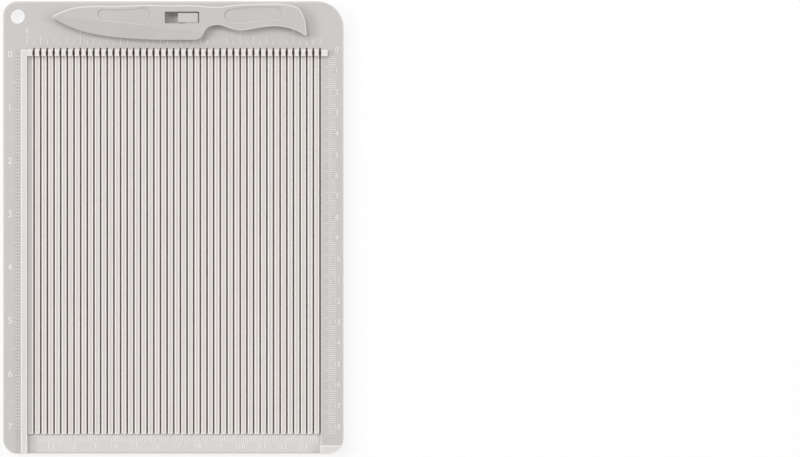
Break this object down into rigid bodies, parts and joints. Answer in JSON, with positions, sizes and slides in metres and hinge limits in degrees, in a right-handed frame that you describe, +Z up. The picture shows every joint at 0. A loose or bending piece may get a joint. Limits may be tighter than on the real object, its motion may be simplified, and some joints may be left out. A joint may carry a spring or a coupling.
{
  "type": "scoring board",
  "caption": "Flat moulded scoring board with parallel creasing grooves, raised guide rails, edge rulers and a knife-shaped bone folder parked on a latch hook.",
  "frame": {"origin": "under the middle of the board, at the height of the back guide rail's lowest face", "axes": "+X to the right along the folder edge, +Y towards the edge where the folder is parked, +Z up out of the grooved face"},
  "size_m": [0.1624, 0.216, 0.0116],
  "materials": {
    "board_plastic": "satin, finely textured moulded ABS",
    "folder_plastic": "satin moulded ABS",
    "printing_ink": "matt pad-printed ink"
  },
  "bodies": {
    "board": {"base_plate": "board_plastic", "top_margin": "board_plastic", "left_margin": "board_plastic", "right_margin": "board_plastic", "scoring_bars": "board_plastic", "left_guide_rail": "board_plastic", "top_guide_rail": "board_plastic", "corner_foot": "board_plastic", "back_guide_rail": "board_plastic", "latch_hook": "board_plastic", "printed_tables": "printing_ink"},
    "folder": {"bone_folder": "folder_plastic"}
  },
  "joints": [
    {"name": "folder_lift", "type": "slide", "parent": "board", "child": "folder", "axis": [0, 0, 1], "range_m": [0, 0.04]}
  ]
}
